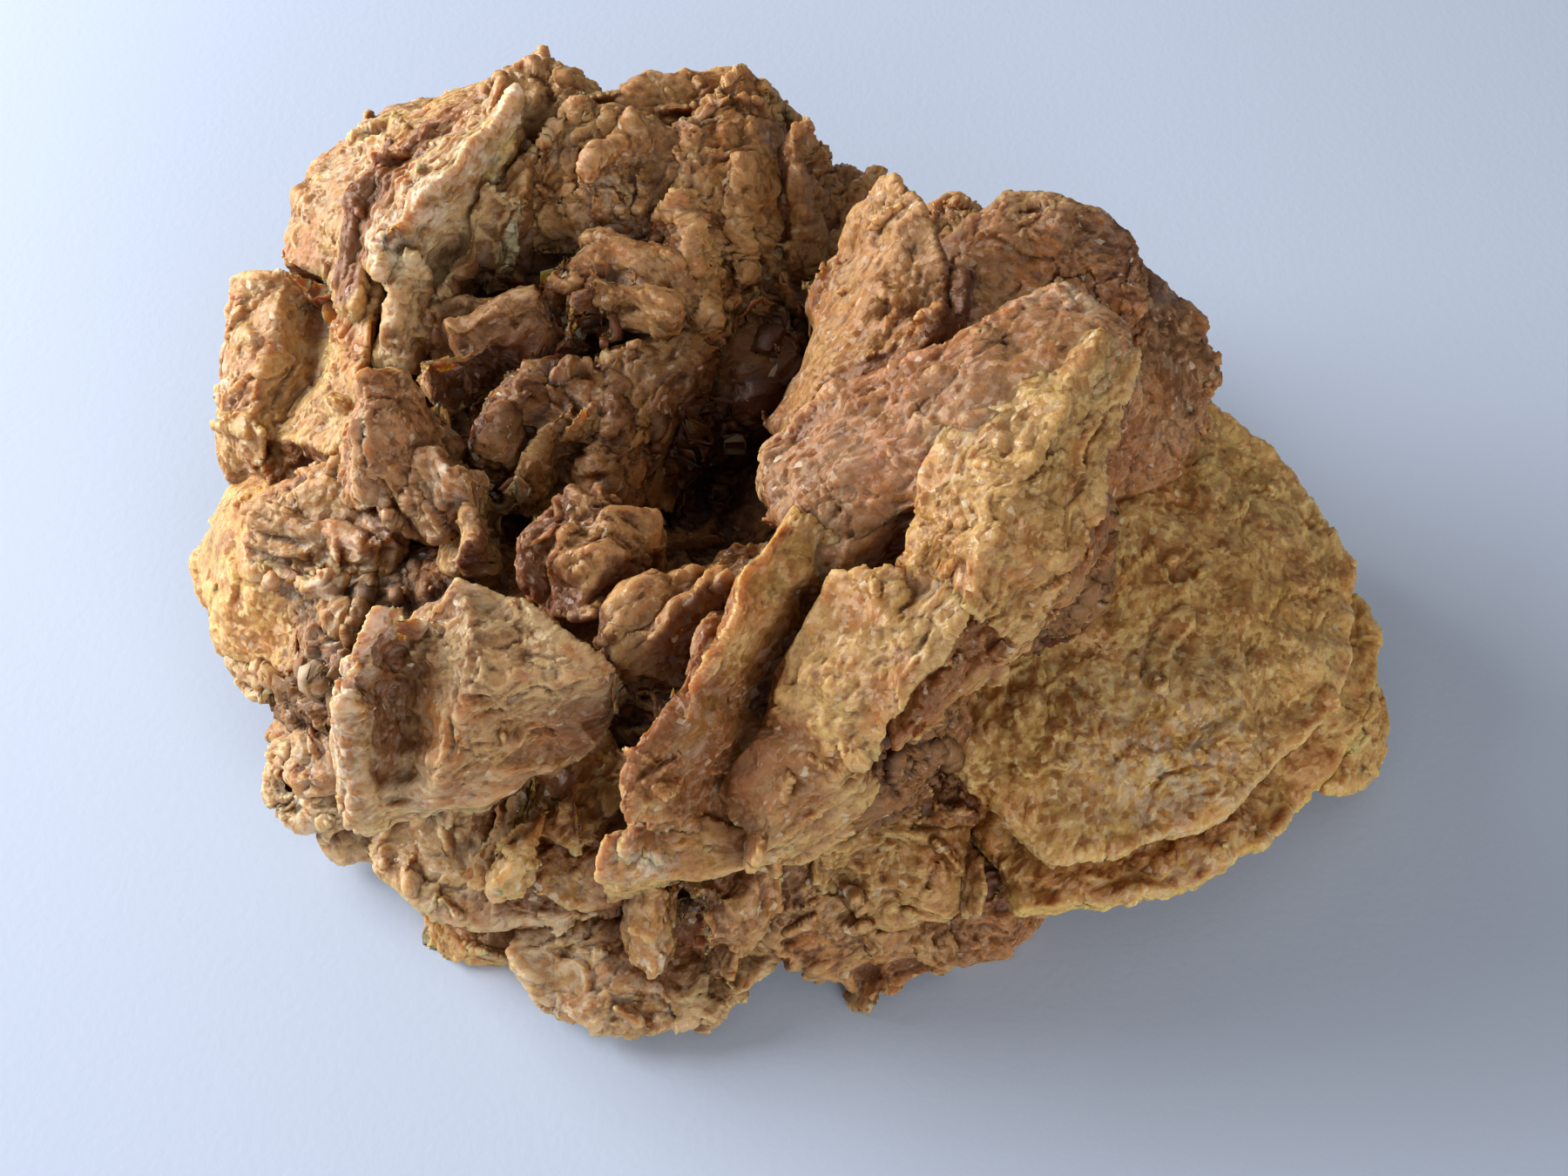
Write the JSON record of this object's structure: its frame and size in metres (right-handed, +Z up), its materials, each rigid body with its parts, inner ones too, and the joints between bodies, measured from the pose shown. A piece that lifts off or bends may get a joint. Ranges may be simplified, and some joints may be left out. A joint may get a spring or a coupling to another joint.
{
  "type": "sand rose",
  "caption": "Gypsum sand rose: rough lens-shaped honey-brown crystals grown through one another around a sandy heart, with broad discs on one side and a blade crest.",
  "frame": {"origin": "on the resting plane, under the middle of the bounding box", "axes": "+X towards the broad discs along the longest side, +Y towards the upright ridge at the back, +Z up from the resting plane"},
  "size_m": [0.1268, 0.0964, 0.0557],
  "materials": {
    "heart_gypsum": "rough, pitted, sandy, dark brown",
    "sand_brown_gypsum": "rough sugary crystal, tan to brown",
    "honey_gypsum": "waxy translucent crystal with embedded sand, honey yellow",
    "olive_disc_gypsum": "waxy worn disc, olive yellow, finely pitted",
    "red_brown_gypsum": "rough crystal with an iron-red stain",
    "pale_crust_gypsum": "sparkling whitish crust over tan crystal"
  },
  "bodies": {
    "root": {"rough_heart": "heart_gypsum", "right_crest_slab": "honey_gypsum", "pink_saddle_slab": "red_brown_gypsum", "front_crest_slab": "honey_gypsum", "tall_tip_blade": "sand_brown_gypsum", "prow_blade": "honey_gypsum", "front_lip_plate": "honey_gypsum", "valley_blade": "sand_brown_gypsum", "right_fan_upper": "olive_disc_gypsum", "right_fan_middle": "olive_disc_gypsum", "right_fan_low": "olive_disc_gypsum", "under_crest_plate": "sand_brown_gypsum", "upper_right_disc": "red_brown_gypsum", "red_rim_disc": "red_brown_gypsum", "far_grey_disc": "sand_brown_gypsum", "white_crest_blade": "pale_crust_gypsum", "peak_blade": "sand_brown_gypsum", "tan_face_blade": "sand_brown_gypsum", "top_brown_blade": "sand_brown_gypsum", "shoulder_blade": "sand_brown_gypsum", "back_knob": "sand_brown_gypsum", "mid_step_blade": "sand_brown_gypsum", "mid_rib_blade": "red_brown_gypsum", "valley_wall_blade": "sand_brown_gypsum", "upper_left_plate": "honey_gypsum", "left_hollow_lobe": "honey_gypsum", "left_under_lobe": "honey_gypsum", "left_honey_disc": "olive_disc_gypsum", "front_slab": "pale_crust_gypsum", "chip_blade": "sand_brown_gypsum", "red_wall_blade": "red_brown_gypsum", "hollow_plate": "sand_brown_gypsum", "left_shelf_blade": "sand_brown_gypsum", "pale_nub": "pale_crust_gypsum", "left_rib_upper": "sand_brown_gypsum", "left_rib_lower": "sand_brown_gypsum", "pale_edge_blade": "pale_crust_gypsum", "small_white_tip": "pale_crust_gypsum", "step_upper": "honey_gypsum", "step_lower": "honey_gypsum", "amber_blade": "honey_gypsum", "lower_left_shelf": "pale_crust_gypsum", "orange_tab": "honey_gypsum", "white_tipped_tooth": "honey_gypsum", "wedge_twin": "sand_brown_gypsum", "bottom_dish": "pale_crust_gypsum", "dish_rim_plate": "sand_brown_gypsum", "front_fan_upper": "honey_gypsum", "front_fan_lower": "sand_brown_gypsum", "brown_sill": "red_brown_gypsum", "back_left_disc": "olive_disc_gypsum", "back_middle_blade": "sand_brown_gypsum", "back_right_disc": "olive_disc_gypsum", "back_low_plate": "sand_brown_gypsum"}
  },
  "joints": []
}
